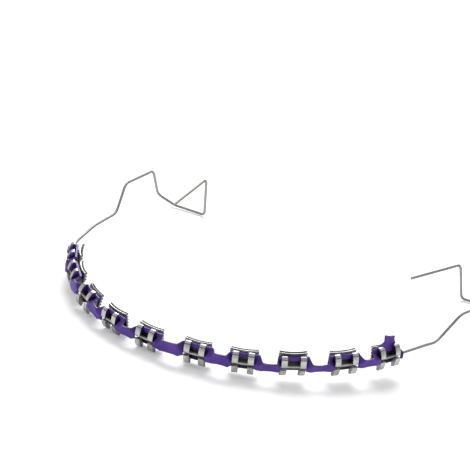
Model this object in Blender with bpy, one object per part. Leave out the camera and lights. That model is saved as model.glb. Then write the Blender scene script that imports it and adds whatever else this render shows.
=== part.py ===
"""Clip-on orthodontic brace arch: ten twin-wing brackets threaded on a bent steel archwire and held
there by one elastic chain, with a clasp at each end of the wire that hooks round a back tooth.

The arch is laid out flat first. Its middle is the origin, +X is the wearer's left, +Y runs back to
the molars and the wire's centreline lies at height zero. One empty then tips the whole arch nose-down
until it rests on its front brackets and on the feet of both clasps.

On each bracket u runs along the wire, w points out at the lips and z points up. w is zero on the
front of the bonding pad. Sizes are in millimetres and are turned into metres where they are used.
"""

import math

import bmesh
import bpy
from mathutils import Matrix, Vector

MM = 0.001

# Arch
ARCH_RADIUS = 24.9
ARCH_HALF_LENGTH = 31.4
BRACKET_STATIONS = (-27.0, -21.8, -15.7, -9.4, -3.35, 3.55, 9.6, 15.7, 22.35, 28.65)
BRACKET_TORQUES = (-6.0, -4.0, -14.0, 9.0, 3.0, 3.0, 7.0, 18.0, 8.0, -2.0)
BRACKET_HEIGHTS = (0.06, 0.0, 0.0, -0.2, -0.05, 0.1, 0.12, 0.2, 0.14, 0.05)

# Archwire
WIRE_DIAMETER = 0.36
ENTRY_RADIUS = 8.0
WIRE_STEP = 1.5
ARC_STEP_DEG = 18.0

# Bonding pad
PAD_WIDTH = 3.6
PAD_HEIGHT = 2.65
PAD_WEB = 0.24
PAD_BEND_RADIUS = 7.0
PAD_FACETS = 5
RIDGE_COUNT = 7
RIDGE_WIDTH = 0.2
RIDGE_HEIGHT = 0.2

# Bracket body: the four on the front teeth are narrower than the rest
FRONT_BRACKETS = (4, 5, 6, 7)
FRONT_WING_SPAN = 2.7
SIDE_WING_SPAN = 3.1
WING_WIDTH = 0.76
WING_HEIGHT = 3.05
WING_CROWN = 0.12
TIP_DROP = 0.62
TIP_THICKNESS = 0.17
UNDERCUT = 0.5
NECK_HEIGHT = 0.9
CORE_FRONT = 0.3
ROOT_DEPTH = 0.22
SLOT_HEIGHT = 0.46
SLOT_DEPTH = 0.8
FLOOR_OVER_UNDERCUT = 0.05
WIRE_FLOOR_GAP = 0.1

# Elastic chain: every ring has a left and a right upper corner, where its edge leaves for the link,
# and each link reaches its own way above and below the wire
CHAIN_THICKNESS = 0.34
CHAIN_GAP = 0.07
RING_TOP = 1.15
RING_FOOT = 1.05
LEFT_CORNERS = (1.6, 1.9, 1.9, 1.9, 1.6, 1.7, 1.5, 1.5, 1.95, 2.2)
RIGHT_CORNERS = (2.1, 2.25, 2.25, 2.2, 2.1, 2.0, 2.0, 2.0, 2.0, 1.7)
FOOT_CORNER = 1.3
RING_REACH = 2.2
RING_END = 1.95
RISE_LEAD = 0.05
RISE_LENGTH = 0.85
RISE_SPREAD = 2.0
LINKS_ABOVE = (0.95, 0.8, 0.8, 0.72, 0.95, 1.05, 0.65, 0.55, 0.6)
LINKS_BELOW = (0.7, 0.5, 0.5, 0.46, 0.5, 0.35, 0.38, 0.3, 0.35)
TAB_WIDTH = 1.55
TAB_NECK = 1.45
TAB_HEIGHT = 1.5
TAB_SHIFT = 0.4
TAB_NOTCH = 0.08
TAB_FLARE = 0.2
TAB_SLANT = 0.4
HOLE_CORNER = 0.27

# Clasp corners: outwards from the arch's middle line, back from its front, the radius of the bend,
# and the height on the right and on the left, where the two hand-bent ends differ
CLASP = (
    ("bow", 24.1, 22.6, 8.0, -1.1, 0.3),
    ("step_foot", 23.6, 27.2, 2.6, -2.75, 0.5),
    ("step_head", 24.8, 31.4, 2.2, -0.1, 2.9),
    ("heel_head", 26.5, 42.0, 1.7, -1.3, 0.4),
    ("heel_bend", 26.3, 43.5, 1.2, -3.6, -3.6),
    ("heel_turn", 23.9, 44.1, 1.2, -4.6, -4.7),
    ("inner_foot", 19.3, 44.2, 0.55, -4.8, -4.8),
    ("inner_head", 19.0, 43.2, 1.2, 0.4, 1.0),
    ("free_end", 17.4, 31.4, 0.0, 2.6, 2.1),
)

# Places that follow from the sizes above
WIRE_RADIUS = WIRE_DIAMETER / 2
SLOT_FLOOR = UNDERCUT + FLOOR_OVER_UNDERCUT
WING_FACE = SLOT_FLOOR + SLOT_DEPTH
WIRE_W = SLOT_FLOOR + WIRE_FLOOR_GAP + WIRE_RADIUS
CHAIN_LOW = UNDERCUT / 2
CHAIN_HIGH = WIRE_W + WIRE_RADIUS + CHAIN_GAP + CHAIN_THICKNESS / 2
HOLE_HALF_HEIGHT = NECK_HEIGHT / 2 + CHAIN_GAP
WIRE_CLEAR = WIRE_RADIUS + CHAIN_GAP
NUMBERS = range(1, len(BRACKET_STATIONS) + 1)
WING_SPANS = tuple(FRONT_WING_SPAN if n in FRONT_BRACKETS else SIDE_WING_SPAN for n in NUMBERS)


def material(name, colour, roughness, metallic):
    made = bpy.data.materials.new(name)
    made.use_nodes = True
    shader = made.node_tree.nodes["Principled BSDF"]
    shader.inputs["Base Color"].default_value = (*colour, 1.0)
    shader.inputs["Roughness"].default_value = roughness
    shader.inputs["Metallic"].default_value = metallic
    return made


def link(name, data, collection):
    made = bpy.data.objects.new(name, data)
    collection.objects.link(made)
    return made


def smooth(t):
    t = min(max(t, 0.0), 1.0)
    return t * t * (3.0 - 2.0 * t)


def wire_height(station):
    """The wire's height: level through each bracket, with a gentle ramp across the link to the next."""
    spans = zip(BRACKET_STATIONS, BRACKET_STATIONS[1:], BRACKET_HEIGHTS, BRACKET_HEIGHTS[1:])
    height = BRACKET_HEIGHTS[0]
    for left, right, low, high in spans:
        start = left + RING_REACH
        height += (high - low) * smooth((station - start) / (right - RING_REACH - start))
    return height


def arch_point(station):
    """A point on the centreline of the wire, between the clasps."""
    angle = station / ARCH_RADIUS
    flat = Vector((math.sin(angle), 1.0 - math.cos(angle), 0.0)) * ARCH_RADIUS
    return flat + Vector((0.0, 0.0, wire_height(station)))


def arch_frame(station, torque_deg):
    """The matrix from a bracket's u, w and z to the arch.

    The torque turns the bracket about the wire, and a positive one tips its top towards the lips.
    """
    turned = Matrix.Translation(arch_point(station)) @ Matrix.Rotation(station / ARCH_RADIUS, 4, "Z")
    tipped = turned @ Matrix.Rotation(math.radians(torque_deg), 4, "X")
    return tipped @ Matrix.Translation((0.0, WIRE_W, 0.0)) @ Matrix.Diagonal((1.0, -1.0, 1.0, 1.0))


def prism(profile, low_u, high_u):
    """A closed outline in w and z, swept straight along u."""
    shape = bmesh.new()
    face = shape.faces.new([shape.verts.new((low_u, w, z)) for w, z in profile])
    swept = bmesh.ops.extrude_face_region(shape, geom=[face])["geom"]
    moved = [item for item in swept if isinstance(item, bmesh.types.BMVert)]
    bmesh.ops.translate(shape, verts=moved, vec=(high_u - low_u, 0.0, 0.0))
    bmesh.ops.recalc_face_normals(shape, faces=shape.faces)
    return shape


def pad_profile():
    """The pad's section in w and z: a flat front, and level ridges across the bonding side."""
    half = PAD_HEIGHT / 2
    pitch = (PAD_HEIGHT - RIDGE_WIDTH) / (RIDGE_COUNT - 1)
    points = [(0.0, half), (0.0, -half)]
    for ridge in range(RIDGE_COUNT):
        low = -half + ridge * pitch
        high = low + RIDGE_WIDTH
        if ridge:
            points.append((-PAD_WEB, low))
        points += [(-PAD_WEB - RIDGE_HEIGHT, low), (-PAD_WEB - RIDGE_HEIGHT, high)]
        if ridge < RIDGE_COUNT - 1:
            points.append((-PAD_WEB, high))
    return points


def bent_pad():
    """The pad's section turned about an upright axis behind it, to sit on a rounded tooth."""
    angle = PAD_WIDTH / PAD_BEND_RADIUS
    axis = Vector((0.0, -PAD_BEND_RADIUS, 0.0))
    shape = bmesh.new()
    face = shape.faces.new([shape.verts.new((0.0, w, z)) for w, z in pad_profile()])
    start = Matrix.Rotation(-angle / 2, 3, "Z")
    bmesh.ops.rotate(shape, verts=shape.verts, cent=axis, matrix=start)
    turned = [face, *face.edges, *face.verts]
    bmesh.ops.spin(
        shape, geom=turned, cent=axis, axis=(0.0, 0.0, 1.0), angle=angle, steps=PAD_FACETS
    )
    bmesh.ops.remove_doubles(shape, verts=shape.verts, dist=0.001)
    bmesh.ops.recalc_face_normals(shape, faces=shape.faces)
    return shape


def wing_profile():
    """One upper and one lower tie wing with the neck and the slot between them, in w and z."""
    slot = SLOT_HEIGHT / 2
    reach = WING_HEIGHT / 2
    span = reach - slot
    tip = WING_FACE - TIP_DROP
    upper = [
        (SLOT_FLOOR, slot),
        (WING_FACE, slot),
        (WING_FACE - WING_CROWN / 4, slot + span * 0.25),
        (WING_FACE - WING_CROWN, slot + span * 0.5),
        (WING_FACE - TIP_DROP / 2, reach - span * 0.16),
        (tip, reach),
        (tip - TIP_THICKNESS, reach),
        (UNDERCUT, reach - TIP_THICKNESS),
        (UNDERCUT, NECK_HEIGHT / 2),
        (-ROOT_DEPTH, NECK_HEIGHT / 2),
    ]
    return upper + [(w, -z) for w, z in reversed(upper)]


def core_profile():
    neck = NECK_HEIGHT / 2
    return [(CORE_FRONT, neck), (CORE_FRONT, -neck), (-ROOT_DEPTH, -neck), (-ROOT_DEPTH, neck)]


def mesh_object(name, shape, collection):
    """Writes a bmesh drawn in millimetres to a new object, in metres."""
    bmesh.ops.scale(shape, verts=shape.verts, vec=(MM, MM, MM))
    data = bpy.data.meshes.new(name)
    shape.to_mesh(data)
    shape.free()
    return link(name, data, collection)


def baked_mesh(thing, name):
    """The object's mesh with its modifiers applied. The object itself is removed."""
    ready = thing.evaluated_get(bpy.context.evaluated_depsgraph_get())
    data = bpy.data.meshes.new_from_object(ready)
    data.name = name
    bpy.data.objects.remove(thing)
    return data


def bracket_mesh(span, collection, steel):
    """Pad, core and both pairs of wings as one casting."""
    inner = span / 2 - WING_WIDTH
    outer = span / 2
    overlap = WING_WIDTH / 2
    body = mesh_object("bracket_body", bent_pad(), collection)
    joined = (
        ("core", core_profile(), -inner - overlap, inner + overlap),
        ("wings_right", wing_profile(), -outer, -inner),
        ("wings_left", wing_profile(), inner, outer),
    )
    added = []
    for name, profile, low_u, high_u in joined:
        piece = mesh_object(name, prism(profile, low_u, high_u), collection)
        union = body.modifiers.new(name, "BOOLEAN")
        union.operation = "UNION"
        union.solver = "EXACT"
        union.object = piece
        added.append(piece)
    data = baked_mesh(body, "bracket")
    for piece in added:
        bpy.data.objects.remove(piece)
    data.materials.clear()
    data.materials.append(steel)
    return data


def add_brackets(rest, collection):
    steel = material("cast_steel", (0.62, 0.62, 0.6), 0.28, 1.0)
    castings = {span: bracket_mesh(span, collection, steel) for span in sorted(set(WING_SPANS))}
    for number, span, station, torque in zip(NUMBERS, WING_SPANS, BRACKET_STATIONS, BRACKET_TORQUES):
        bracket = link(f"bracket_{number:02d}", castings[span], collection)
        bracket.parent = rest
        place = arch_frame(station, torque)
        place.translation *= MM
        bracket.matrix_basis = place


def rounded(points, radii):
    """A path through the points, with an arc of the given radius at each corner between them."""
    path = [points[0]]
    for before, corner, after, radius in zip(points, points[1:], points[2:], radii[1:]):
        arrive = (corner - before).normalized()
        leave = (after - corner).normalized()
        turn = arrive.angle(leave)
        if turn < 0.01:
            path.append(corner)
            continue
        most = min((corner - before).length, (after - corner).length) * 0.48
        reach = min(radius * math.tan(turn / 2), most)
        true_radius = reach / math.tan(turn / 2)
        inward = (leave - arrive).normalized()
        centre = corner + inward * (true_radius / math.cos(turn / 2))
        steps = max(2, math.ceil(math.degrees(turn) / ARC_STEP_DEG))
        first = corner - arrive * reach - centre
        axis = arrive.cross(leave).normalized()
        for step in range(steps + 1):
            path.append(centre + Matrix.Rotation(turn * step / steps, 3, axis) @ first)
    path.append(points[-1])
    return path


def arch_end(side):
    """The last stretch of the arch's arc with its clasp: side is 1 on the right and -1 on the left."""
    points = [arch_point(side * reach) for reach in (ARCH_HALF_LENGTH - WIRE_STEP, ARCH_HALF_LENGTH)]
    radii = [0.0, ENTRY_RADIUS]
    for _, out, back, radius, right_up, left_up in CLASP:
        points.append(Vector((side * out, back, right_up if side > 0 else left_up)))
        radii.append(radius)
    return rounded(points, radii)


def wire_path():
    """The whole wire from its left free end to its right one."""
    reach = ARCH_HALF_LENGTH - WIRE_STEP
    steps = round(2 * reach / WIRE_STEP)
    stations = [reach * (2 * step / steps - 1) for step in range(1, steps)]
    return [*reversed(arch_end(-1)), *map(arch_point, stations), *arch_end(1)]


def add_wire(rest, collection):
    data = bpy.data.curves.new("archwire", "CURVE")
    data.dimensions = "3D"
    data.bevel_depth = WIRE_RADIUS * MM
    data.bevel_resolution = 2
    data.use_fill_caps = True
    spline = data.splines.new("POLY")
    path = wire_path()
    spline.points.add(len(path) - 1)
    for point, place in zip(spline.points, path):
        point.co = (*(place * MM), 1.0)
    data.materials.append(material("drawn_steel", (0.42, 0.42, 0.4), 0.3, 1.0))
    wire = link("archwire", data, collection)
    wire.parent = rest


def nose(corner, ring):
    """The round end of the chain, from the last ring's corner out to the middle."""
    return [
        (corner + (RING_END - corner) * math.sin(turn), ring * math.cos(turn))
        for turn in (step * math.pi / 8 for step in range(5))
    ]


def dip(corner, middle, ring, low):
    """The chain's edge outwards from a bracket, from the ring's corner to the middle of a link."""
    room = middle - corner
    return [
        (corner + room * (1.0 - math.cos(turn)), ring - (ring - low) * math.sin(turn))
        for turn in (step * math.pi / 10 for step in range(6))
    ]


def chain_edge(left_corners, right_corners, ring, links):
    """One long edge of the chain as pairs of a place along it and a distance from the wire.

    It follows each ring as far as its right corner, dips to the link and climbs to the next ring's
    left corner.
    """
    edge = [(BRACKET_STATIONS[0] - u, z) for u, z in reversed(nose(left_corners[0], ring))]
    bounds = zip(BRACKET_STATIONS, BRACKET_STATIONS[1:], right_corners, left_corners[1:], links)
    for left, right, start, end, low in bounds:
        middle = (right - left) / 2
        edge += [(left + u, z) for u, z in dip(start, middle, ring, low)]
        edge += [(right - u, z) for u, z in reversed(dip(end, middle, ring, low)[:-1])]
    edge += [(BRACKET_STATIONS[-1] + u, z) for u, z in nose(right_corners[-1], ring)]
    return edge


def tab_outline():
    """The cut-off end of the chain that stands up from the last ring, right to left."""
    middle = BRACKET_STATIONS[-1] + TAB_SHIFT
    neck, half = TAB_NECK / 2, TAB_WIDTH / 2
    top = RING_TOP + TAB_HEIGHT
    return [
        (BRACKET_STATIONS[-1] + RIGHT_CORNERS[-1], RING_TOP),
        (middle + neck + TAB_FLARE, RING_TOP + TAB_HEIGHT * 0.25),
        (middle + neck, RING_TOP + TAB_HEIGHT * 0.6),
        (middle + half, top - TAB_SLANT / 2),
        (middle, top - TAB_NOTCH),
        (middle - half, top + TAB_SLANT / 2),
        (middle - neck, RING_TOP + TAB_HEIGHT * 0.5),
        (BRACKET_STATIONS[-1] - LEFT_CORNERS[-1], RING_TOP),
    ]


def hole_outline(station, span):
    """The opening of one ring, which goes round the necks of the bracket's wings."""
    wide, high = span / 2 + CHAIN_GAP, HOLE_HALF_HEIGHT
    cut = HOLE_CORNER
    corners = [
        (wide, high - cut),
        (wide - cut * 0.3, high - cut * 0.3),
        (wide - cut, high),
        (cut - wide, high),
        (cut * 0.3 - wide, high - cut * 0.3),
        (-wide, high - cut),
    ]
    return [(station + u, z) for u, z in corners + [(-u, -z) for u, z in corners]]


def flat_chain(collection):
    """The chain laid out straight: its outline with ten holes, as thick as the chain."""
    upper = chain_edge(LEFT_CORNERS, RIGHT_CORNERS, RING_TOP, LINKS_ABOVE)
    place = sum(1 for s, _ in upper if s < BRACKET_STATIONS[-1])
    upper[place:place] = list(reversed(tab_outline()))
    foot_corners = [FOOT_CORNER] * len(BRACKET_STATIONS)
    foot = chain_edge(foot_corners, foot_corners, RING_FOOT, LINKS_BELOW)[1:-1]
    lower = [(s, -z) for s, z in foot]
    data = bpy.data.curves.new("chain_flat", "CURVE")
    data.dimensions = "2D"
    data.fill_mode = "BOTH"
    data.extrude = CHAIN_THICKNESS / 2
    holes = [hole_outline(*place) for place in zip(BRACKET_STATIONS, WING_SPANS)]
    for outline in [upper + list(reversed(lower)), *holes]:
        spline = data.splines.new("POLY")
        spline.points.add(len(outline) - 1)
        for point, (s, z) in zip(spline.points, outline):
            point.co = (s, z, 0.0, 1.0)
        spline.use_cyclic_u = True
    return baked_mesh(link("chain_flat", data, collection), "power_chain")


def chain_depth(u, z, number):
    """How far out the chain's middle lies.

    It is low under the wings. Beside them it rises to a crest over the wire, and a link is all high.
    """
    beside = abs(u) - WING_SPANS[number] / 2 - CHAIN_GAP
    if beside <= -CHAIN_GAP:
        return CHAIN_LOW
    foot = min(HOLE_HALF_HEIGHT + max(beside, 0.0) * RISE_SPREAD, RING_TOP)
    inward = max(foot - abs(z), 0.0) / (foot - WIRE_CLEAR)
    corners = RIGHT_CORNERS if u > 0.0 else LEFT_CORNERS
    outward = smooth((abs(u) - corners[number] - RISE_LEAD) / RISE_LENGTH)
    return CHAIN_LOW + (CHAIN_HIGH - CHAIN_LOW) * min(outward + inward, 1.0)


def chain_point(frames, s, w, z):
    """A point of the flat chain on the arch: with its bracket in a ring, straight across a link."""
    first, last = BRACKET_STATIONS[0], BRACKET_STATIONS[-1]
    nearest = min(range(len(BRACKET_STATIONS)), key=lambda k: abs(s - BRACKET_STATIONS[k]))
    u = s - BRACKET_STATIONS[nearest]
    depth = w + chain_depth(u, z, nearest)
    if abs(u) <= RING_REACH or not first <= s <= last:
        return frames[nearest] @ Vector((u, depth, z))
    left = nearest if u > 0 else nearest - 1
    start = BRACKET_STATIONS[left] + RING_REACH
    end = BRACKET_STATIONS[left + 1] - RING_REACH
    t = (s - start) / (end - start)
    near = frames[left] @ Vector((RING_REACH, depth, z))
    far = frames[left + 1] @ Vector((-RING_REACH, depth, z))
    return near.lerp(far, t)


def slice_chain(shape):
    """Cuts the flat chain across and along, so that it can bend there."""
    spread = (RING_TOP - HOLE_HALF_HEIGHT) / RISE_SPREAD
    cuts = []
    for station, span, *corners in zip(BRACKET_STATIONS, WING_SPANS, LEFT_CORNERS, RIGHT_CORNERS):
        clear = span / 2 + CHAIN_GAP
        for side, corner in zip((-1, 1), corners):
            start = corner + RISE_LEAD
            across = (span / 2, clear, clear + spread / 2, clear + spread, start, start + RISE_LENGTH)
            cuts += [((station + side * u, 0.0, 0.0), (1.0, 0.0, 0.0)) for u in across]
    along = (WIRE_CLEAR, HOLE_HALF_HEIGHT, (HOLE_HALF_HEIGHT + RING_TOP) / 2)
    cuts += [((0.0, side * z, 0.0), (0.0, 1.0, 0.0)) for z in along for side in (-1, 1)]
    for place, normal in cuts:
        everything = [*shape.verts, *shape.edges, *shape.faces]
        bmesh.ops.bisect_plane(shape, geom=everything, plane_co=place, plane_no=normal, dist=0.005)


def add_chain(rest, collection):
    data = flat_chain(collection)
    frames = [arch_frame(*place) for place in zip(BRACKET_STATIONS, BRACKET_TORQUES)]
    shape = bmesh.new()
    shape.from_mesh(data)
    bmesh.ops.remove_doubles(shape, verts=shape.verts, dist=0.001)
    slice_chain(shape)
    for vert in shape.verts:
        s, z, w = vert.co
        vert.co = chain_point(frames, s, w, z) * MM
    bmesh.ops.recalc_face_normals(shape, faces=shape.faces)
    shape.to_mesh(data)
    shape.free()
    data.materials.clear()
    data.materials.append(material("purple_elastomer", (0.11, 0.045, 0.31), 0.4, 0.0))
    chain = link("power_chain", data, collection)
    chain.parent = rest


def seat_on_floor(rest, collection):
    """Tips the arch onto its front wings and its clasps' feet, and centres its box on the origin."""
    foot = next(corner for corner in CLASP if corner[0] == "inner_foot")
    foot_back, foot_up = foot[2], min(foot[4:])
    drop = -foot_up + WIRE_RADIUS - WING_HEIGHT / 2
    rest.rotation_euler.x = math.atan2(drop, foot_back)
    depsgraph = bpy.context.evaluated_depsgraph_get()
    depsgraph.update()
    places = []
    for thing in collection.objects:
        if thing.type == "EMPTY":
            continue
        ready = thing.evaluated_get(depsgraph)
        places += [ready.matrix_world @ vert.co for vert in ready.to_mesh().vertices]
        ready.to_mesh_clear()
    low, high = (Vector(pick(axis) for axis in zip(*places)) for pick in (min, max))
    rest.location = (-(low.x + high.x) / 2, -(low.y + high.y) / 2, -low.z)


def main():
    for thing in list(bpy.data.objects):
        bpy.data.objects.remove(thing)
    collection = bpy.data.collections.new("brace_arch")
    bpy.context.scene.collection.children.link(collection)
    rest = link("rest_frame", None, collection)
    add_brackets(rest, collection)
    add_wire(rest, collection)
    add_chain(rest, collection)
    seat_on_floor(rest, collection)


main()
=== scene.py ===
"""Looks for the clip-on orthodontic brace arch: smooth castings, wire and elastic over the CAD frame.

Lengths are in millimetres and are turned into metres where a mesh or a place is written. On each
bracket u runs along the wire, w points out at the lips and z points up. w is zero on the front of
the bonding pad, and the flat arch lies in the wire's plane with its middle at the origin.
"""

import math

import bmesh
import bpy
from mathutils import Matrix, Vector


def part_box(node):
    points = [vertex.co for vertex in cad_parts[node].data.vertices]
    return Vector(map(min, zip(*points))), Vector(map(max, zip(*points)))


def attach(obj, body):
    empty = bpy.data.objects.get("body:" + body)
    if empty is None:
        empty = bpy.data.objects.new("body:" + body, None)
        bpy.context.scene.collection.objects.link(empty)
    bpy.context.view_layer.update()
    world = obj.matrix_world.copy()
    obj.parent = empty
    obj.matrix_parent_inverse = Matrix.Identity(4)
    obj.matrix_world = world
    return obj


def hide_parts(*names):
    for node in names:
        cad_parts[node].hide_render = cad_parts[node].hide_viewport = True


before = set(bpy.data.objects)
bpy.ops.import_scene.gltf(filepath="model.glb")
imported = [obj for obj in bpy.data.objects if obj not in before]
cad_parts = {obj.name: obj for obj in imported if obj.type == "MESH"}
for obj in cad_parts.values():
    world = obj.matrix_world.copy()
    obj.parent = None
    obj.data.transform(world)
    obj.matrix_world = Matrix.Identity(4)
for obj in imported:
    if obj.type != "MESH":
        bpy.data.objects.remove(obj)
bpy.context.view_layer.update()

MM = 0.001

# Arch and wire
ARCH_RADIUS = 24.9
ARCH_HALF_LENGTH = 31.4
BRACKET_STATIONS = (-27.0, -21.8, -15.7, -9.4, -3.35, 3.55, 9.6, 15.7, 22.35, 28.65)
BRACKET_TORQUES = (-6.0, -4.0, -14.0, 9.0, 3.0, 3.0, 7.0, 18.0, 8.0, -2.0)
BRACKET_HEIGHTS = (0.06, 0.0, 0.0, -0.2, -0.05, 0.1, 0.12, 0.2, 0.14, 0.05)
WIRE_RADIUS = 0.36 / 2
WIRE_STEP = 1.5
ARC_STEP_DEG = 18.0
FINE_WIRE_STEP = 0.5
FINE_ARC_STEP_DEG = 6.0
ENTRY_RADIUS = 8.0
LONGEST_BEND_SHARE = 0.48
STRAIGHT_TURN = 0.01
# A clasp's corners from the arch back: out, back, bend radius, height on the right and on the left
CLASP = (
    (24.1, 22.6, 8.0, -1.1, 0.3),
    (23.6, 27.2, 2.6, -2.75, 0.5),
    (24.8, 31.4, 2.2, -0.1, 2.9),
    (26.5, 42.0, 1.7, -1.3, 0.4),
    (26.3, 43.5, 1.2, -3.6, -3.6),
    (23.9, 44.1, 1.2, -4.6, -4.7),
    (19.3, 44.2, 0.55, -4.8, -4.8),
    (19.0, 43.2, 1.2, 0.4, 1.0),
    (17.4, 31.4, 0.0, 2.6, 2.1),
)

# Bracket casting
PAD_WIDTH = 3.6
PAD_HEIGHT = 2.65
PAD_WEB = 0.24
PAD_BEND_RADIUS = 7.0
PAD_STEPS = 24
RIDGE_COUNT = 7
RIDGE_WIDTH = 0.2
RIDGE_HEIGHT = 0.2
SEAM_PLACE = 0.2
SEAM_WIDTH = 0.07
SEAM_DEPTH = 0.08
FRONT_BRACKETS = (4, 5, 6, 7)
FRONT_WING_SPAN = 2.7
SIDE_WING_SPAN = 3.1
WING_WIDTH = 0.76
WING_HEIGHT = 3.05
WING_CROWN = 0.12
WING_CROWN_START = 0.25
WING_CROWN_END = 0.5
WING_BEND_END = 0.16
TIP_DROP = 0.62
TIP_THICKNESS = 0.17
UNDERCUT = 0.5
NECK_HEIGHT = 0.9
CORE_FRONT = 0.3
ROOT_DEPTH = 0.22
SLOT_HEIGHT = 0.46
SLOT_FLOOR = 0.55
WING_FACE = 1.35
WIRE_W = 0.65 + WIRE_RADIUS
SLOT_FLOOR_RADIUS = 0.04
SLOT_LIP_RADIUS = 0.06
CROWN_START_RADIUS = 0.6
CROWN_END_RADIUS = 0.8
WING_BEND_RADIUS = 0.35
TIP_RADIUS = 0.1
SMALL_RADIUS = 0.05
EDGE_ROUND = 0.045
EDGE_ROUND_STEPS = 2
PAD_ROUND_FROM_DEG = 40
WING_ROUND_FROM_DEG = 60
CORNER_STEP_DEG = 12.0
CAST_SHARP_DEG = 32
WIRE_SHARP_DEG = 50
WELD_REACH = 0.001

# Elastic chain
CHAIN_THICKNESS = 0.34
CHAIN_GAP = 0.07
CHAIN_LOW = UNDERCUT / 2
CHAIN_HIGH = WIRE_W + WIRE_RADIUS + CHAIN_GAP + CHAIN_THICKNESS / 2
HOLE_HALF_HEIGHT = NECK_HEIGHT / 2 + CHAIN_GAP
HOLE_CORNER = 0.27
HOLE_CORNER_BULGE = 0.3
RISE_LEAD = 0.05
RISE_LENGTH = 0.85
RISE_SPREAD = 2.0
RING_TOP = 1.15
RING_FOOT = 1.05
LEFT_CORNERS = (1.6, 1.9, 1.9, 1.9, 1.6, 1.7, 1.5, 1.5, 1.95, 2.2)
RIGHT_CORNERS = (2.1, 2.25, 2.25, 2.2, 2.1, 2.0, 2.0, 2.0, 2.0, 1.7)
FOOT_CORNER = 1.3
RING_REACH = 2.2
RING_END = 1.95
NOSE_STEPS = 8
DIP_STEPS = 10
LINKS_ABOVE = (0.95, 0.8, 0.8, 0.72, 0.95, 1.05, 0.65, 0.55, 0.6)
LINKS_BELOW = (0.7, 0.5, 0.5, 0.46, 0.5, 0.35, 0.38, 0.3, 0.35)
TAB_WIDTH = 1.55
TAB_NECK = 1.45
TAB_HEIGHT = 1.5
TAB_SHIFT = 0.4
TAB_FLARE = 0.2
TAB_SLANT = 0.4
TAB_NOTCH = 0.08
TAB_FLARE_END = 0.25
TAB_RIGHT_NECK = 0.6
TAB_LEFT_NECK = 0.5
CHAIN_VOXEL = 0.07
RELAX_FACTOR = 0.5
RELAX_ROUNDS = 4
# Where the chain gets painted shade: under the lower wings and at its free ends
SHADE_BELOW = 0.25
SHADE_BESIDE = 0.1
SHADE_FADE = 0.15
FREE_END_FADE = 0.2
WIRE_CLEAR = WIRE_RADIUS + CHAIN_GAP
INNER_FOOT = CLASP[6]
REST_TILT = math.atan2(WIRE_RADIUS - INNER_FOOT[4] - WING_HEIGHT / 2, INNER_FOOT[1])
NUMBERS = range(1, len(BRACKET_STATIONS) + 1)
WING_SPANS = tuple(FRONT_WING_SPAN if n in FRONT_BRACKETS else SIDE_WING_SPAN for n in NUMBERS)

# The photograph's view, in the flat arch's own frame
VIEW_AZIMUTH = math.radians(26.27)
VIEW_ELEVATION = math.radians(25.83)
VIEW_ROLL = math.radians(5.92)
VIEW_DISTANCE = 451.17
VIEW_TARGET = Vector((-8.6633, 32.5752, 0.0))
VIEW_LENS = 264.95


def smooth(t):
    """A soft step from 0 to 1 as t goes from 0 to 1."""
    t = min(max(t, 0.0), 1.0)
    return t * t * (3.0 - 2.0 * t)


def wire_height(station):
    """The wire's height: level through each bracket, with a gentle ramp across each link."""
    spans = zip(BRACKET_STATIONS, BRACKET_STATIONS[1:], BRACKET_HEIGHTS, BRACKET_HEIGHTS[1:])
    height = BRACKET_HEIGHTS[0]
    for left, right, low, high in spans:
        start = left + RING_REACH
        height += (high - low) * smooth((station - start) / (right - RING_REACH - start))
    return height


def arch_point(station):
    """The wire's middle at a distance along the flat arch."""
    angle = station / ARCH_RADIUS
    flat = Vector((math.sin(angle), 1.0 - math.cos(angle), 0.0)) * ARCH_RADIUS
    return flat + Vector((0.0, 0.0, wire_height(station)))


def arch_frame(station, torque_deg):
    """The matrix from a bracket's u, w and z to the flat arch."""
    turned = Matrix.Translation(arch_point(station)) @ Matrix.Rotation(station / ARCH_RADIUS, 4, "Z")
    tipped = turned @ Matrix.Rotation(math.radians(torque_deg), 4, "X")
    return tipped @ Matrix.Translation((0.0, WIRE_W, 0.0)) @ Matrix.Diagonal((1.0, -1.0, 1.0, 1.0))


def rounded(points, radii, step_deg):
    """A path through the points, with an arc of the given radius at each corner between them."""
    path = [points[0]]
    for before, corner, after, radius in zip(points, points[1:], points[2:], radii[1:]):
        arrive = (corner - before).normalized()
        leave = (after - corner).normalized()
        turn = arrive.angle(leave)
        if turn < STRAIGHT_TURN or radius == 0.0:
            path.append(corner)
            continue
        most = min((corner - before).length, (after - corner).length) * LONGEST_BEND_SHARE
        reach = min(radius * math.tan(turn / 2), most)
        true_radius = reach / math.tan(turn / 2)
        centre = corner + (leave - arrive).normalized() * (true_radius / math.cos(turn / 2))
        steps = max(2, math.ceil(math.degrees(turn) / step_deg))
        first = corner - arrive * reach - centre
        axis = arrive.cross(leave).normalized()
        for step in range(steps + 1):
            path.append(centre + Matrix.Rotation(turn * step / steps, 3, axis) @ first)
    path.append(points[-1])
    return path


def arch_end(side, arc_step_deg):
    """The wire from the arch through one clasp, on the right where the side is 1."""
    points = [arch_point(side * reach) for reach in (ARCH_HALF_LENGTH - WIRE_STEP, ARCH_HALF_LENGTH)]
    radii = [0.0, ENTRY_RADIUS]
    for out, back, radius, right_up, left_up in CLASP:
        points.append(Vector((side * out, back, right_up if side > 0 else left_up)))
        radii.append(radius)
    return rounded(points, radii, arc_step_deg)


def wire_path(wire_step, arc_step_deg):
    """The wire's middle line from the left clasp's free end to the right one's."""
    reach = ARCH_HALF_LENGTH - WIRE_STEP
    steps = round(2 * reach / wire_step)
    stations = [reach * (2 * step / steps - 1) for step in range(1, steps)]
    right = arch_end(1, arc_step_deg)
    return [*reversed(arch_end(-1, arc_step_deg)), *map(arch_point, stations), *right]


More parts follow.
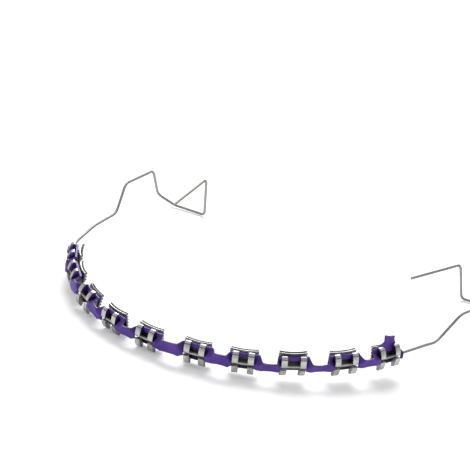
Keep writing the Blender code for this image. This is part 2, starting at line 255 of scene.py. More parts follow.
def rest_matrix():
    """From the flat arch, in millimetres, to the CAD model's place, in millimetres."""
    turn = Matrix.Rotation(REST_TILT, 4, "X")
    turned = [turn @ point for point in wire_path(WIRE_STEP, ARC_STEP_DEG)]
    low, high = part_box("archwire")
    shift = []
    for axis in range(3):
        values = [point[axis] for point in turned]
        shift.append((low[axis] + high[axis]) / MM / 2 - (min(values) + max(values)) / 2)
    return Matrix.Translation(shift) @ turn


REST = rest_matrix()


def object_from(shape, name, finish):
    """An object from a bmesh in millimetres, written in metres."""
    bmesh.ops.recalc_face_normals(shape, faces=shape.faces)
    bmesh.ops.scale(shape, verts=shape.verts, vec=(MM, MM, MM))
    data = bpy.data.meshes.new(name)
    shape.to_mesh(data)
    shape.free()
    data.materials.append(finish)
    made = bpy.data.objects.new(name, data)
    bpy.context.scene.collection.objects.link(made)
    return made


def applied_mesh_of(thing):
    """A new mesh of a curve, or of a mesh with its modifiers."""
    depsgraph = bpy.context.evaluated_depsgraph_get()
    return bpy.data.meshes.new_from_object(thing.evaluated_get(depsgraph), depsgraph=depsgraph)


def applied(thing):
    """Puts the object's modifiers into its mesh."""
    data = applied_mesh_of(thing)
    thing.modifiers.clear()
    thing.data = data


def welded(mesh, reach):
    """The mesh of a curve, with its loose caps joined to it."""
    shape = bmesh.new()
    shape.from_mesh(mesh)
    bmesh.ops.remove_doubles(shape, verts=shape.verts, dist=reach)
    shape.to_mesh(mesh)
    shape.free()
    return mesh


# Materials. Grains are in cycles a metre. Each band runs from where a tone starts to where it is full.

EDGE_TINT = (0.32, 0.32, 0.33)
GRAIN_SPREAD = (0.3, 0.7)
BUMP_STRENGTH = 0.6

TUMBLED_MARKS = (9000.0, 9000.0, 900.0)
TUMBLED_CLOUD = (900.0, 900.0, 900.0)
TUMBLED_CLOUD_SHARE = 0.35
TUMBLED_TONES = ((0.46, 0.46, 0.45), (0.64, 0.64, 0.62))
TUMBLED_BASE_ROUGHNESS = 0.28
TUMBLED_ROUGHNESS = (0.48, 0.34)
TUMBLED_BUMP = 0.006
# Painted shade deep between the wings
RECESS_SHADE_TONE = (0.06, 0.055, 0.06)
RECESS_OUT_BAND = (UNDERCUT + 0.1, UNDERCUT)
RECESS_HEIGHT_BAND = (NECK_HEIGHT, NECK_HEIGHT * 0.6)
# Painted shade on the pad's top, and painted dark lines along its front and back top edges
PAD_TOP_SHADE_TONE = (0.36, 0.36, 0.35)
PAD_TOP_BAND = (PAD_HEIGHT / 2 - 0.085, PAD_HEIGHT / 2 - 0.055)
PAD_FRONT_BAND = (0.06, 0.04)
FRONT_EDGE_SHADE_TONE = (0.05, 0.05, 0.048)
RIM_BAND = (0.8, 0.86)
BLASTED_TONE = (0.16, 0.16, 0.15)
BACK_EDGE_SHADE_TONE = (0.045, 0.045, 0.04)
BLASTED_BAND = (0.58, 0.5)
# Painted shade at the bend near each upper wing's top
CREASE_SHADE_TONE = (0.1, 0.1, 0.095)
CREASE_LOW_BAND = (1.22, 1.25)
CREASE_HIGH_BAND = (1.32, 1.29)
CREASE_OUT_BAND = (0.8, 0.9)
# Painted shade on the wings' flanks, and a painted purple reflection of the chain on the upper ones
FLANK_SHADE_TONE = (0.15, 0.14, 0.17)
FLANK_BAND = (0.7, 0.95)
LOWER_FLANK_BAND = (-0.4, 0.0)
LOWER_FLANK_SHARE = 0.7
CHAIN_REFLECTION_TONE = (0.14, 0.09, 0.25)
MIRROR_HEIGHT_BAND = (0.1, 0.3)
MIRROR_OUT_BAND = (0.2, 0.4)

DRAWN_GRAIN = (9000.0, 9000.0, 9000.0)
DRAWN_CLOUD = (420.0, 420.0, 420.0)
DRAWN_CLOUD_SPREAD = (0.35, 0.65)
DRAWN_TONES = ((0.48, 0.47, 0.43), (0.66, 0.65, 0.6))
DRAWN_BASE_ROUGHNESS = 0.3
DRAWN_ROUGHNESS = (0.5, 0.66)
DRAWN_BUMP = 0.004
# Painted shade on the wire: greyer from the front towards the clasps, and darker on its top
CLASP_SHADE_TONE = (0.36, 0.36, 0.34)
CLASP_BAND = (-14.0, -4.0)
WIRE_TOP_SHADE_TONE = (0.2, 0.2, 0.19)
WIRE_TOP_BAND = (0.2, 0.8)
WIRE_TOP_SHARE = 0.6

ELASTIC_GRAIN = (7000.0, 7000.0, 7000.0)
ELASTIC_CLOUD = (520.0, 520.0, 520.0)
ELASTIC_CLOUD_SPREAD = (0.32, 0.68)
ELASTIC_TONES = ((0.093, 0.037, 0.295), (0.142, 0.062, 0.41))
ELASTIC_BASE_ROUGHNESS = 0.4
ELASTIC_ROUGHNESS = (0.42, 0.56)
ELASTIC_SPECULAR = 0.3
ELASTIC_BUMP = 0.008
# Painted shade on the chain under the lower wings and at its free ends
CHAIN_SHADE_TONE = (0.02, 0.008, 0.05)
# Painted shade on the chain's up-facing faces, toning down the lamp's light there
TOP_FACE_SHADE_TONE = (0.03, 0.012, 0.11)
TOP_FACE_SHADE_BAND = (0.45, 0.85)
TOP_FACE_SHADE_SHARE = 0.75


def new_material(name, metallic, roughness):
    """A material with its nodes, its links and its shader."""
    made = bpy.data.materials.new(name)
    made.use_nodes = True
    nodes = made.node_tree.nodes
    shader = nodes["Principled BSDF"]
    shader.inputs["Metallic"].default_value = metallic
    shader.inputs["Roughness"].default_value = roughness
    return made, nodes, made.node_tree.links, shader


def grain(nodes, links, source, scale, detail):
    """A noise texture on coordinates stretched by a scale along each axis."""
    mapping = nodes.new("ShaderNodeMapping")
    mapping.inputs["Scale"].default_value = scale
    links.new(source, mapping.inputs["Vector"])
    noise = nodes.new("ShaderNodeTexNoise")
    noise.inputs["Scale"].default_value = 1.0
    noise.inputs["Detail"].default_value = detail
    links.new(mapping.outputs["Vector"], noise.inputs["Vector"])
    return noise.outputs["Fac"]


def ramp(nodes, links, source, spread, tones):
    """Colours between two tones as the source goes from the low end of a spread to the high end."""
    made = nodes.new("ShaderNodeValToRGB")
    for element, position, tone in zip(made.color_ramp.elements, spread, tones):
        element.position = position
        element.color = (*tone, 1.0)
    links.new(source, made.inputs["Fac"])
    return made.outputs["Color"]


def levels(nodes, links, source, low, high, out_low, out_high):
    """The source's range from low to high, stretched over another range and held at its ends."""
    made = nodes.new("ShaderNodeMapRange")
    for name, value in (("From Min", low), ("From Max", high), ("To Min", out_low), ("To Max", out_high)):
        made.inputs[name].default_value = value
    links.new(source, made.inputs["Value"])
    return made.outputs["Result"]


def share_band(nodes, links, source, band, full=1.0):
    """0 before a band of plain numbers, and the full share past it."""
    return levels(nodes, links, source, *band, 0.0, full)


def place_band(nodes, links, source, band):
    """0 before a band of places in millimetres, and 1 past it."""
    return levels(nodes, links, source, *(edge * MM for edge in band), 0.0, 1.0)


def bump(nodes, links, source, depth, shader):
    """Small relief from the source, with its depth in millimetres."""
    made = nodes.new("ShaderNodeBump")
    made.inputs["Strength"].default_value = BUMP_STRENGTH
    made.inputs["Distance"].default_value = depth * MM
    links.new(source, made.inputs["Height"])
    links.new(made.outputs["Normal"], shader.inputs["Normal"])


def darkened(nodes, links, colour, amount, dark):
    """The colour, turned to a dark one as the amount goes from 0 to 1."""
    tone = nodes.new("ShaderNodeMix")
    tone.data_type = "RGBA"
    links.new(amount, tone.inputs["Factor"])
    links.new(colour, tone.inputs["A"])
    tone.inputs["B"].default_value = (*dark, 1.0)
    return tone.outputs["Result"]


def product(nodes, links, *sources):
    """The sources multiplied together."""
    total = sources[0]
    for source in sources[1:]:
        times = nodes.new("ShaderNodeMath")
        times.operation = "MULTIPLY"
        links.new(total, times.inputs[0])
        links.new(source, times.inputs[1])
        total = times.outputs[0]
    return total


def magnitude(nodes, links, source):
    """The source without its sign."""
    made = nodes.new("ShaderNodeMath")
    made.operation = "ABSOLUTE"
    links.new(source, made.inputs[0])
    return made.outputs[0]


def parts_of(nodes, links, source):
    """The X, Y and Z outputs of a vector."""
    made = nodes.new("ShaderNodeSeparateXYZ")
    links.new(source, made.inputs["Vector"])
    return made.outputs


def pad_layer(nodes, links, place):
    """How far through the bonding pad a place is: 0 at the ridges' tips and 1 at the pad's front."""
    behind = nodes.new("ShaderNodeMapping")
    behind.inputs["Location"].default_value = (0.0, PAD_BEND_RADIUS * MM, 0.0)
    behind.inputs["Scale"].default_value = (1.0, 1.0, 0.0)
    links.new(place, behind.inputs["Vector"])
    reach = nodes.new("ShaderNodeVectorMath")
    reach.operation = "LENGTH"
    links.new(behind.outputs["Vector"], reach.inputs[0])
    band = (PAD_BEND_RADIUS - PAD_WEB - RIDGE_HEIGHT, PAD_BEND_RADIUS)
    return place_band(nodes, links, reach.outputs["Value"], band)


def with_recess_shade(nodes, links, tone, out, height):
    """Painted shade deep between the wings."""
    deep = place_band(nodes, links, out, RECESS_OUT_BAND)
    near = place_band(nodes, links, height, RECESS_HEIGHT_BAND)
    return darkened(nodes, links, tone, product(nodes, links, deep, near), RECESS_SHADE_TONE)


def with_pad_shade_and_blast(nodes, links, tone, out, height, layer):
    """Painted shade on the pad: a greyer top and dark lines along its top edges. Its blasted side is
    darker.
    """
    top = place_band(nodes, links, height, PAD_TOP_BAND)
    pad = place_band(nodes, links, out, PAD_FRONT_BAND)
    # Painted shade: a greyer top, toning down the lamp's highlight there
    tone = darkened(nodes, links, tone, product(nodes, links, top, pad), PAD_TOP_SHADE_TONE)
    # Painted shade: a dark line along the pad's front top edge
    rim = share_band(nodes, links, layer, RIM_BAND)
    tone = darkened(nodes, links, tone, product(nodes, links, rim, top, pad), FRONT_EDGE_SHADE_TONE)
    blasted = share_band(nodes, links, layer, BLASTED_BAND)
    tone = darkened(nodes, links, tone, blasted, BLASTED_TONE)
    # Painted shade: a dark band along the back of the pad's top
    return darkened(nodes, links, tone, product(nodes, links, blasted, top), BACK_EDGE_SHADE_TONE)


def with_crease_shade(nodes, links, tone, out, up):
    """Painted shade: a dark stripe at the bend near the top of each upper wing."""
    above = place_band(nodes, links, up, CREASE_LOW_BAND)
    below = place_band(nodes, links, up, CREASE_HIGH_BAND)
    face = place_band(nodes, links, out, CREASE_OUT_BAND)
    return darkened(nodes, links, tone, product(nodes, links, above, below, face), CREASE_SHADE_TONE)


def with_flank_shade_and_reflection(nodes, links, tone, out, up, sideways):
    """Painted shade on the flanks, less on the lower wings. Those of the upper wings get a painted
    reflection of the chain.
    """
    flank = share_band(nodes, links, sideways, FLANK_BAND)
    low, high = (edge * MM for edge in LOWER_FLANK_BAND)
    shade = levels(nodes, links, up, low, high, LOWER_FLANK_SHARE, 1.0)
    # Painted shade on the flanks
    tone = darkened(nodes, links, tone, product(nodes, links, flank, shade), FLANK_SHADE_TONE)
    # Painted reflection of the chain on the upper wings' flanks
    upper = place_band(nodes, links, up, MIRROR_HEIGHT_BAND)
    front = place_band(nodes, links, out, MIRROR_OUT_BAND)
    return darkened(nodes, links, tone, product(nodes, links, flank, upper, front), CHAIN_REFLECTION_TONE)


def cast_steel():
    """Tumbled casting with a grain and a blasted pad back, and with painted shade and a painted
    reflection on it.
    """
    made, nodes, links, shader = new_material("cast_steel_finish", 1.0, TUMBLED_BASE_ROUGHNESS)
    shader.inputs["Specular Tint"].default_value = (*EDGE_TINT, 1.0)
    coordinates = nodes.new("ShaderNodeTexCoord").outputs
    place = coordinates["Object"]
    marks = grain(nodes, links, place, TUMBLED_MARKS, detail=3.0)
    mix = nodes.new("ShaderNodeMix")
    mix.inputs["Factor"].default_value = TUMBLED_CLOUD_SHARE
    links.new(marks, mix.inputs["A"])
    links.new(grain(nodes, links, place, TUMBLED_CLOUD, detail=2.0), mix.inputs["B"])
    both = mix.outputs["Result"]
    _, out, up = parts_of(nodes, links, place)
    height = magnitude(nodes, links, up)
    sideways = magnitude(nodes, links, parts_of(nodes, links, coordinates["Normal"])["X"])
    tone = ramp(nodes, links, both, GRAIN_SPREAD, TUMBLED_TONES)
    tone = with_recess_shade(nodes, links, tone, out, height)
    tone = with_pad_shade_and_blast(nodes, links, tone, out, height, pad_layer(nodes, links, place))
    tone = with_crease_shade(nodes, links, tone, out, up)
    tone = with_flank_shade_and_reflection(nodes, links, tone, out, up, sideways)
    links.new(tone, shader.inputs["Base Color"])
    roughness = levels(nodes, links, both, *GRAIN_SPREAD, *TUMBLED_ROUGHNESS)
    links.new(roughness, shader.inputs["Roughness"])
    bump(nodes, links, marks, TUMBLED_BUMP, shader)
    return made


def drawn_steel():
    """Springy wire with a fine grain, slightly olive, with painted shade: greyer towards the clasps and
    darker on top.
    """
    made, nodes, links, shader = new_material("drawn_steel_finish", 1.0, DRAWN_BASE_ROUGHNESS)
    shader.inputs["Specular Tint"].default_value = (*EDGE_TINT, 1.0)
    surface = nodes.new("ShaderNodeNewGeometry").outputs
    place = surface["Position"]
    cloud = grain(nodes, links, place, DRAWN_CLOUD, detail=3.0)
    fine = grain(nodes, links, place, DRAWN_GRAIN, detail=2.0)
    tone = ramp(nodes, links, cloud, DRAWN_CLOUD_SPREAD, DRAWN_TONES)
    # Painted shade: the wire turns greyer from the front towards the clasps
    clasps = place_band(nodes, links, parts_of(nodes, links, place)["Y"], CLASP_BAND)
    tone = darkened(nodes, links, tone, clasps, CLASP_SHADE_TONE)
    # Painted shade on the wire's up-facing side
    upward = parts_of(nodes, links, surface["Normal"])["Z"]
    top = share_band(nodes, links, upward, WIRE_TOP_BAND, WIRE_TOP_SHARE)
    links.new(darkened(nodes, links, tone, top, WIRE_TOP_SHADE_TONE), shader.inputs["Base Color"])
    roughness = levels(nodes, links, fine, *GRAIN_SPREAD, *DRAWN_ROUGHNESS)
    links.new(roughness, shader.inputs["Roughness"])
    bump(nodes, links, fine, DRAWN_BUMP, shader)
    return made


def purple_elastomer():
    """Moulded polyurethane, satin, with painted shade: darker under the lower wings, at its free ends and
    on its up-facing faces.
    """
    made, nodes, links, shader = new_material("purple_elastomer_finish", 0.0, ELASTIC_BASE_ROUGHNESS)
    shader.inputs["Specular IOR Level"].default_value = ELASTIC_SPECULAR
    surface = nodes.new("ShaderNodeNewGeometry").outputs
    cloud = grain(nodes, links, surface["Position"], ELASTIC_CLOUD, detail=3.0)
    fine = grain(nodes, links, surface["Position"], ELASTIC_GRAIN, detail=3.0)
    tone = ramp(nodes, links, cloud, ELASTIC_CLOUD_SPREAD, ELASTIC_TONES)
    # Painted shade under the lower wings and at the chain's free ends
    painted_shade = nodes.new("ShaderNodeAttribute")
    painted_shade.attribute_name = "painted_shade"
    tone = darkened(nodes, links, tone, painted_shade.outputs["Fac"], CHAIN_SHADE_TONE)
    # Painted shade on the up-facing faces
    upward = parts_of(nodes, links, surface["Normal"])["Z"]
    edge = share_band(nodes, links, upward, TOP_FACE_SHADE_BAND, TOP_FACE_SHADE_SHARE)
    links.new(darkened(nodes, links, tone, edge, TOP_FACE_SHADE_TONE), shader.inputs["Base Color"])
    roughness = levels(nodes, links, fine, *GRAIN_SPREAD, *ELASTIC_ROUGHNESS)
    links.new(roughness, shader.inputs["Roughness"])
    bump(nodes, links, fine, ELASTIC_BUMP, shader)
    return made


# Brackets

def prism(profile, low_u, high_u):
    """A profile in w and z, swept along u."""
    shape = bmesh.new()
    face = shape.faces.new([shape.verts.new((low_u, w, z)) for w, z in profile])
    swept = bmesh.ops.extrude_face_region(shape, geom=[face])["geom"]
    moved = [item for item in swept if isinstance(item, bmesh.types.BMVert)]
    bmesh.ops.translate(shape, verts=moved, vec=(high_u - low_u, 0.0, 0.0))
    return shape


def wing_profile():
    """Both tie wings of one side in w and z. Each corner has its place and its radius."""
    slot = SLOT_HEIGHT / 2
    reach = WING_HEIGHT / 2
    span = reach - slot
    tip = WING_FACE - TIP_DROP
    corners = (
        (SLOT_FLOOR, slot, SLOT_FLOOR_RADIUS),
        (WING_FACE, slot, SLOT_LIP_RADIUS),
        (WING_FACE - WING_CROWN / 4, slot + span * WING_CROWN_START, CROWN_START_RADIUS),
        (WING_FACE - WING_CROWN, slot + span * WING_CROWN_END, CROWN_END_RADIUS),
        (WING_FACE - TIP_DROP / 2, reach - span * WING_BEND_END, WING_BEND_RADIUS),
        (tip, reach, TIP_RADIUS),
        (tip - TIP_THICKNESS, reach, SMALL_RADIUS),
        (UNDERCUT, reach - TIP_THICKNESS, SMALL_RADIUS),
        (UNDERCUT, NECK_HEIGHT / 2, SMALL_RADIUS),
        (-ROOT_DEPTH, NECK_HEIGHT / 2, 0.0),
    )
    both = [*corners, *((w, -z, radius) for w, z, radius in reversed(corners))]
    points = [Vector((w, z, 0.0)) for w, z, _ in both]
    radii = [radius for *_, radius in both]
    start = (points[0] + points[-1]) / 2
    path = rounded([start, *points, start], [0.0, *radii, 0.0], CORNER_STEP_DEG)
    return [(point.x, point.y) for point in path[:-1]]


def pad_profile():
    """The pad in w and z: a flat front, level ridges behind and a thin seam along its top."""
    half = PAD_HEIGHT / 2
    pitch = (PAD_HEIGHT - RIDGE_WIDTH) / (RIDGE_COUNT - 1)
    points = [(0.0, half), (0.0, -half)]
    for ridge in range(RIDGE_COUNT):
        low = -half + ridge * pitch
        high = low + RIDGE_WIDTH
        if ridge:
            points.append((-PAD_WEB, low))
        points += [(-PAD_WEB - RIDGE_HEIGHT, low), (-PAD_WEB - RIDGE_HEIGHT, high)]
        if ridge < RIDGE_COUNT - 1:
            points.append((-PAD_WEB, high))
    for side, depth in ((-1, 0.0), (-1, SEAM_DEPTH), (1, SEAM_DEPTH), (1, 0.0)):
        points.append((-SEAM_PLACE + side * SEAM_WIDTH / 2, half - depth))
    return points


def bent_pad():
    """The pad's profile, spun round the tooth's side of it."""
    angle = PAD_WIDTH / PAD_BEND_RADIUS
    axis = Vector((0.0, -PAD_BEND_RADIUS, 0.0))
    shape = bmesh.new()
    face = shape.faces.new([shape.verts.new((0.0, w, z)) for w, z in pad_profile()])
    start = Matrix.Rotation(-angle / 2, 3, "Z")
    bmesh.ops.rotate(shape, verts=shape.verts, cent=axis, matrix=start)
    turned = [face, *face.edges, *face.verts]
    bmesh.ops.spin(shape, geom=turned, cent=axis, axis=(0.0, 0.0, 1.0), angle=angle, steps=PAD_STEPS)
    bmesh.ops.remove_doubles(shape, verts=shape.verts, dist=WELD_REACH)
    return shape


def round_edges(thing, width, sharp_deg):
    """Rounds every edge that bends by more than an angle."""
    bevel = thing.modifiers.new("round_edges", "BEVEL")
    bevel.width = width * MM
    bevel.segments = EDGE_ROUND_STEPS
    bevel.limit_method = "ANGLE"
    bevel.angle_limit = math.radians(sharp_deg)
    applied(thing)


def bracket_mesh(span, finish):
    """One casting: the ridged pad, the core and four rounded wings, joined into one body."""
    inner = span / 2 - WING_WIDTH
    outer = span / 2
    neck = NECK_HEIGHT / 2
    core = [(CORE_FRONT, neck), (CORE_FRONT, -neck), (-ROOT_DEPTH, -neck), (-ROOT_DEPTH, neck)]
    body = object_from(bent_pad(), "bracket_body", finish)
    round_edges(body, EDGE_ROUND / 2, PAD_ROUND_FROM_DEG)
    for name, profile, low_u, high_u in (
        ("core", core, -inner - WING_WIDTH / 2, inner + WING_WIDTH / 2),
        ("wings_right", wing_profile(), -outer, -inner),
        ("wings_left", wing_profile(), inner, outer),
    ):
        piece = object_from(prism(profile, low_u, high_u), name, finish)
        round_edges(piece, EDGE_ROUND, WING_ROUND_FROM_DEG)
        union = body.modifiers.new(name, "BOOLEAN")
        union.operation = "UNION"
        union.object = piece
        applied(body)
        bpy.data.objects.remove(piece)
    data = body.data
    bpy.data.objects.remove(body)
    data.shade_smooth()
    data.set_sharp_from_angle(angle=math.radians(CAST_SHARP_DEG))
    return data


def add_brackets(finish):
    """Ten castings of two widths, each at its place and tip along the wire."""
    castings = {span: bracket_mesh(span, finish) for span in sorted(set(WING_SPANS))}
    for number, span, *place in zip(NUMBERS, WING_SPANS, BRACKET_STATIONS, BRACKET_TORQUES):
        name = f"bracket_{number:02d}"
        bracket = bpy.data.objects.new(f"{name}_casting", castings[span])
        bpy.context.scene.collection.objects.link(bracket)
        where = REST @ arch_frame(*place)
        where.translation *= MM
        bracket.matrix_world = where
        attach(bracket, "root")
        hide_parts(name)


# Wire

def add_wire(finish):
    """The wire with finer bends than the solid has."""
    data = bpy.data.curves.new("archwire_line", "CURVE")
    data.dimensions = "3D"
    data.bevel_depth = WIRE_RADIUS * MM
    data.bevel_resolution = 4
    data.use_fill_caps = True
    spline = data.splines.new("POLY")
    path = wire_path(FINE_WIRE_STEP, FINE_ARC_STEP_DEG)
    spline.points.add(len(path) - 1)
    for point, place in zip(spline.points, path):
        point.co = (*((REST @ place) * MM), 1.0)
    line = bpy.data.objects.new("archwire_line", data)
    bpy.context.scene.collection.objects.link(line)
    mesh = welded(applied_mesh_of(line), WELD_REACH * MM)
    bpy.data.objects.remove(line)
    mesh.shade_smooth()
    mesh.set_sharp_from_angle(angle=math.radians(WIRE_SHARP_DEG))
    mesh.materials.clear()
    mesh.materials.append(finish)
    wire = bpy.data.objects.new("archwire_drawn", mesh)
    bpy.context.scene.collection.objects.link(wire)
    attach(wire, "root")
    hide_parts("archwire")


# Chain

def quarter_turn(steps):
    """Angles from 0 to a right angle."""
    return [step * math.pi / (2 * steps) for step in range(steps + 1)]


def nose(corner, ring):
    """The round end of the chain, from the last ring's corner out to the middle."""
    return [
        (corner + (RING_END - corner) * math.sin(turn), ring * math.cos(turn))
        for turn in quarter_turn(NOSE_STEPS)
    ]


def dip(corner, middle, ring, low):
    """The chain's edge outwards from a bracket, from the ring's corner to the middle of a link."""
    room = middle - corner
    return [
        (corner + room * (1.0 - math.cos(turn)), ring - (ring - low) * math.sin(turn))
        for turn in quarter_turn(DIP_STEPS)
    ]


def chain_edge(left_corners, right_corners, ring, links):
    """One long edge of the chain: along it, and away from the wire."""
    edge = [(BRACKET_STATIONS[0] - u, z) for u, z in reversed(nose(left_corners[0], ring))]
    bounds = zip(BRACKET_STATIONS, BRACKET_STATIONS[1:], right_corners, left_corners[1:], links)
    for left, right, start, end, low in bounds:
        middle = (right - left) / 2
        edge += [(left + u, z) for u, z in dip(start, middle, ring, low)]
        edge += [(right - u, z) for u, z in reversed(dip(end, middle, ring, low)[:-1])]
    edge += [(BRACKET_STATIONS[-1] + u, z) for u, z in nose(right_corners[-1], ring)]
    return edge


def tab_outline():
    """The cut-off tab over the last ring, from its right foot to its left one."""
    middle = BRACKET_STATIONS[-1] + TAB_SHIFT
    neck, half = TAB_NECK / 2, TAB_WIDTH / 2
    top = RING_TOP + TAB_HEIGHT
    return [
        (BRACKET_STATIONS[-1] + RIGHT_CORNERS[-1], RING_TOP),
        (middle + neck + TAB_FLARE, RING_TOP + TAB_HEIGHT * TAB_FLARE_END),
        (middle + neck, RING_TOP + TAB_HEIGHT * TAB_RIGHT_NECK),
        (middle + half, top - TAB_SLANT / 2),
        (middle, top - TAB_NOTCH),
        (middle - half, top + TAB_SLANT / 2),
        (middle - neck, RING_TOP + TAB_HEIGHT * TAB_LEFT_NECK),
        (BRACKET_STATIONS[-1] - LEFT_CORNERS[-1], RING_TOP),
    ]


def hole_outline(station, span):
    """A ring's hole, with its corners cut and bulged a little."""
    wide, high, cut = span / 2 + CHAIN_GAP, HOLE_HALF_HEIGHT, HOLE_CORNER
    bulge = cut * HOLE_CORNER_BULGE
    corners = [
        (wide, high - cut),
        (wide - bulge, high - bulge),
        (wide - cut, high),
        (cut - wide, high),
        (bulge - wide, high - bulge),
        (-wide, high - cut),
    ]
    return [(station + u, z) for u, z in corners + [(-u, -z) for u, z in corners]]


def flat_chain(finish):
    """The chain laid straight, in millimetres as if they were metres, with even small faces."""
    upper = chain_edge(LEFT_CORNERS, RIGHT_CORNERS, RING_TOP, LINKS_ABOVE)
    place = sum(1 for s, _ in upper if s < BRACKET_STATIONS[-1])
    upper[place:place] = list(reversed(tab_outline()))
    foot_corners = [FOOT_CORNER] * len(BRACKET_STATIONS)
    foot = chain_edge(foot_corners, foot_corners, RING_FOOT, LINKS_BELOW)[1:-1]
    lower = [(s, -z) for s, z in foot]
    data = bpy.data.curves.new("chain_flat", "CURVE")
    data.dimensions = "2D"
    data.fill_mode = "BOTH"
    data.extrude = CHAIN_THICKNESS / 2
    holes = [hole_outline(*place) for place in zip(BRACKET_STATIONS, WING_SPANS)]
    for outline in [upper + list(reversed(lower)), *holes]:
        spline = data.splines.new("POLY")
        spline.points.add(len(outline) - 1)
        for point, (s, z) in zip(spline.points, outline):
            point.co = (s, z, 0.0, 1.0)
        spline.use_cyclic_u = True
    curve = bpy.data.objects.new("chain_flat", data)
    bpy.context.scene.collection.objects.link(curve)
    mesh = welded(applied_mesh_of(curve), WELD_REACH)
    bpy.data.objects.remove(curve)
    flat = bpy.data.objects.new("power_chain_moulded", mesh)
    bpy.context.scene.collection.objects.link(flat)
    remesh = flat.modifiers.new("even_faces", "REMESH")
    remesh.mode = "VOXEL"
    remesh.voxel_size = CHAIN_VOXEL
    relax = flat.modifiers.new("soft_edges", "SMOOTH")
    relax.factor = RELAX_FACTOR
    relax.iterations = RELAX_ROUNDS
    applied(flat)
    flat.data.materials.clear()
    flat.data.materials.append(finish)
    return flat


def chain_depth(u, z, number):
    """How far out the chain's middle lies.

    It is low under the wings. Beside them it rises to a crest over the wire, and a link is all high.
    """
    beside = abs(u) - WING_SPANS[number] / 2 - CHAIN_GAP
    if beside <= -CHAIN_GAP:
        return CHAIN_LOW
    foot = min(HOLE_HALF_HEIGHT + max(beside, 0.0) * RISE_SPREAD, RING_TOP)
    inward = max(foot - abs(z), 0.0) / (foot - WIRE_CLEAR)
    corners = RIGHT_CORNERS if u > 0.0 else LEFT_CORNERS
    outward = smooth((abs(u) - corners[number] - RISE_LEAD) / RISE_LENGTH)
    return CHAIN_LOW + (CHAIN_HIGH - CHAIN_LOW) * smooth(outward + inward)


def chain_point(frames, s, w, z):
    """A place on the straight chain, carried to its bracket or to the link between two."""
    first, last = BRACKET_STATIONS[0], BRACKET_STATIONS[-1]
    nearest = min(range(len(BRACKET_STATIONS)), key=lambda k: abs(s - BRACKET_STATIONS[k]))
    u = s - BRACKET_STATIONS[nearest]
    depth = w + chain_depth(u, z, nearest)
    if abs(u) <= RING_REACH or not first <= s <= last:
        return frames[nearest] @ Vector((u, depth, z))
    left = nearest if u > 0 else nearest - 1
    start = BRACKET_STATIONS[left] + RING_REACH
    end = BRACKET_STATIONS[left + 1] - RING_REACH
    near = frames[left] @ Vector((RING_REACH, depth, z))
    far = frames[left + 1] @ Vector((-RING_REACH, depth, z))
    return near.lerp(far, (s - start) / (end - start))


def chain_shade_at(s, z):
    """Painted shade on the chain: 1 where the ring lies under the lower wings, and 0 where it is spread.

    The two free ends of the chain get the painted shade too.
    """
    u, span = min((abs(s - station), span) for station, span in zip(BRACKET_STATIONS, WING_SPANS))
    beside = u - span / 2 - SHADE_BESIDE
    under = smooth((-z - SHADE_BELOW) / SHADE_FADE) * smooth(-beside / SHADE_FADE)
    beyond = max(BRACKET_STATIONS[0] - s, s - BRACKET_STATIONS[-1])
    return max(under, smooth((beyond - span / 2 - SHADE_BESIDE) / FREE_END_FADE))


def add_chain(finish):
    """The straight chain, bent round the brackets, with its painted shade marked under the lower wings
    and at its free ends.
    """
    chain = flat_chain(finish)
    frames = [REST @ arch_frame(*place) for place in zip(BRACKET_STATIONS, BRACKET_TORQUES)]
    painted_shade = chain.data.attributes.new("painted_shade", "FLOAT", "POINT")
    for vert, shade in zip(chain.data.vertices, painted_shade.data):
        s, z, w = vert.co
        # The painted shade under the lower wings and at the free ends
        shade.value = chain_shade_at(s, z)
        vert.co = chain_point(frames, s, w, z) * MM
    chain.data.update()
    chain.data.shade_smooth()
    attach(chain, "root")
    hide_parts("power_chain")


# Stage

SENSOR_WIDTH = 36.0
CLIP_START = 0.01
FLOOR_SIZE = 3.0
FLOOR_WHITE = 0.86
FLOOR_ROUGHNESS = 0.9
FLOOR_GLOW = 0.2
KEY_PLACE = (-0.22, 0.42, 0.38)
KEY_SIZE = 0.4
KEY_WATTS = 4.5
WORLD_TURN = (-0.5, 0.6)
WORLD_STRENGTH = (0.3, 0.75)


def add_camera():
    """The photograph's view."""
    direction = Vector((
        math.sin(VIEW_AZIMUTH) * math.cos(VIEW_ELEVATION),
        -math.cos(VIEW_AZIMUTH) * math.cos(VIEW_ELEVATION),
        math.sin(VIEW_ELEVATION),
    ))
    level = (-direction).cross(Vector((0.0, 0.0, 1.0))).normalized()
    upright = level.cross(-direction)
    right = level * math.cos(VIEW_ROLL) + upright * math.sin(VIEW_ROLL)
    up = upright * math.cos(VIEW_ROLL) - level * math.sin(VIEW_ROLL)
    pose = Matrix((right, up, direction)).transposed().to_4x4()
    pose.translation = VIEW_TARGET + direction * VIEW_DISTANCE
    pose = REST @ pose
    pose.translation *= MM
    data = bpy.data.cameras.new("camera")
    data.lens = VIEW_LENS
    data.sensor_width = SENSOR_WIDTH
    data.clip_start = CLIP_START
    camera = bpy.data.objects.new("camera", data)
    camera.matrix_world = pose
    bpy.context.scene.collection.objects.link(camera)
    bpy.context.scene.camera = camera


def seen_directly(nodes, links):
    """1 for camera, glossy and transmission rays, and 0 for the rays that light the object."""
    path = nodes.new("ShaderNodeLightPath")
    total = path.outputs["Is Camera Ray"]
    for name in ("Is Glossy Ray", "Is Transmission Ray"):
        add = nodes.new("ShaderNodeMath")
        add.operation = "MAXIMUM"
        links.new(total, add.inputs[0])
        links.new(path.outputs[name], add.inputs[1])
        total = add.outputs[0]
    return total


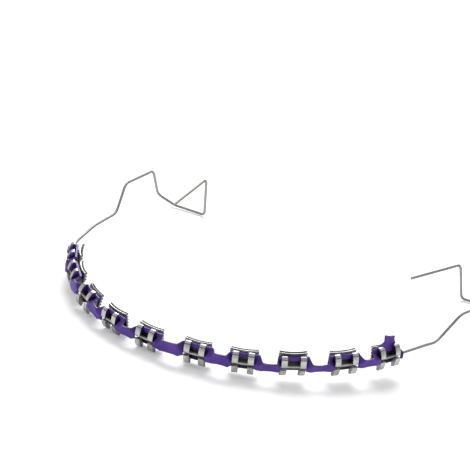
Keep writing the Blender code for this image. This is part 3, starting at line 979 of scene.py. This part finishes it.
def add_floor():
    """A white floor with a little glow of its own to the camera, so that only shadows show."""
    bpy.ops.mesh.primitive_plane_add(size=FLOOR_SIZE, location=(0.0, 0.0, 0.0))
    floor = bpy.context.active_object
    floor.name = "floor"
    made = bpy.data.materials.new("floor_white")
    made.use_nodes = True
    nodes, links = made.node_tree.nodes, made.node_tree.links
    shader = nodes["Principled BSDF"]
    shader.inputs["Base Color"].default_value = (FLOOR_WHITE, FLOOR_WHITE, FLOOR_WHITE, 1.0)
    shader.inputs["Roughness"].default_value = FLOOR_ROUGHNESS
    shader.inputs["Specular IOR Level"].default_value = 0.0
    glow = nodes.new("ShaderNodeMath")
    glow.operation = "MULTIPLY"
    glow.inputs[1].default_value = FLOOR_GLOW
    links.new(seen_directly(nodes, links), glow.inputs[0])
    shader.inputs["Emission Color"].default_value = (1.0, 1.0, 1.0, 1.0)
    links.new(glow.outputs[0], shader.inputs["Emission Strength"])
    floor.data.materials.append(made)


def add_light(name, place, size, watts):
    """A round soft light that shines at the middle of the floor."""
    data = bpy.data.lights.new(name, "AREA")
    data.shape = "DISK"
    data.size = size
    data.energy = watts
    light = bpy.data.objects.new(name, data)
    light.location = place
    aim = -Vector(place)
    light.rotation_euler = aim.to_track_quat("-Z", "Y").to_euler()
    bpy.context.scene.collection.objects.link(light)


def add_world():
    """A soft studio: bright behind and over the object, darker in front, white to the camera."""
    world = bpy.data.worlds.new("studio")
    bpy.context.scene.world = world
    world.use_nodes = True
    nodes, links = world.node_tree.nodes, world.node_tree.links
    background = nodes["Background"]
    background.inputs["Color"].default_value = (1.0, 1.0, 1.0, 1.0)
    toward = nodes.new("ShaderNodeVectorMath")
    toward.operation = "DOT_PRODUCT"
    links.new(nodes.new("ShaderNodeTexCoord").outputs["Generated"], toward.inputs[0])
    toward.inputs[1].default_value = Vector(KEY_PLACE).normalized()
    grey = levels(nodes, links, toward.outputs["Value"], *WORLD_TURN, *WORLD_STRENGTH)
    seen = nodes.new("ShaderNodeMath")
    seen.operation = "MAXIMUM"
    links.new(grey, seen.inputs[0])
    links.new(nodes.new("ShaderNodeLightPath").outputs["Is Camera Ray"], seen.inputs[1])
    links.new(seen.outputs[0], background.inputs["Strength"])


bpy.context.scene.view_settings.view_transform = "Standard"
add_camera()
add_world()
add_floor()
add_light("key", KEY_PLACE, KEY_SIZE, KEY_WATTS)
add_brackets(cast_steel())
add_wire(drawn_steel())
add_chain(purple_elastomer())
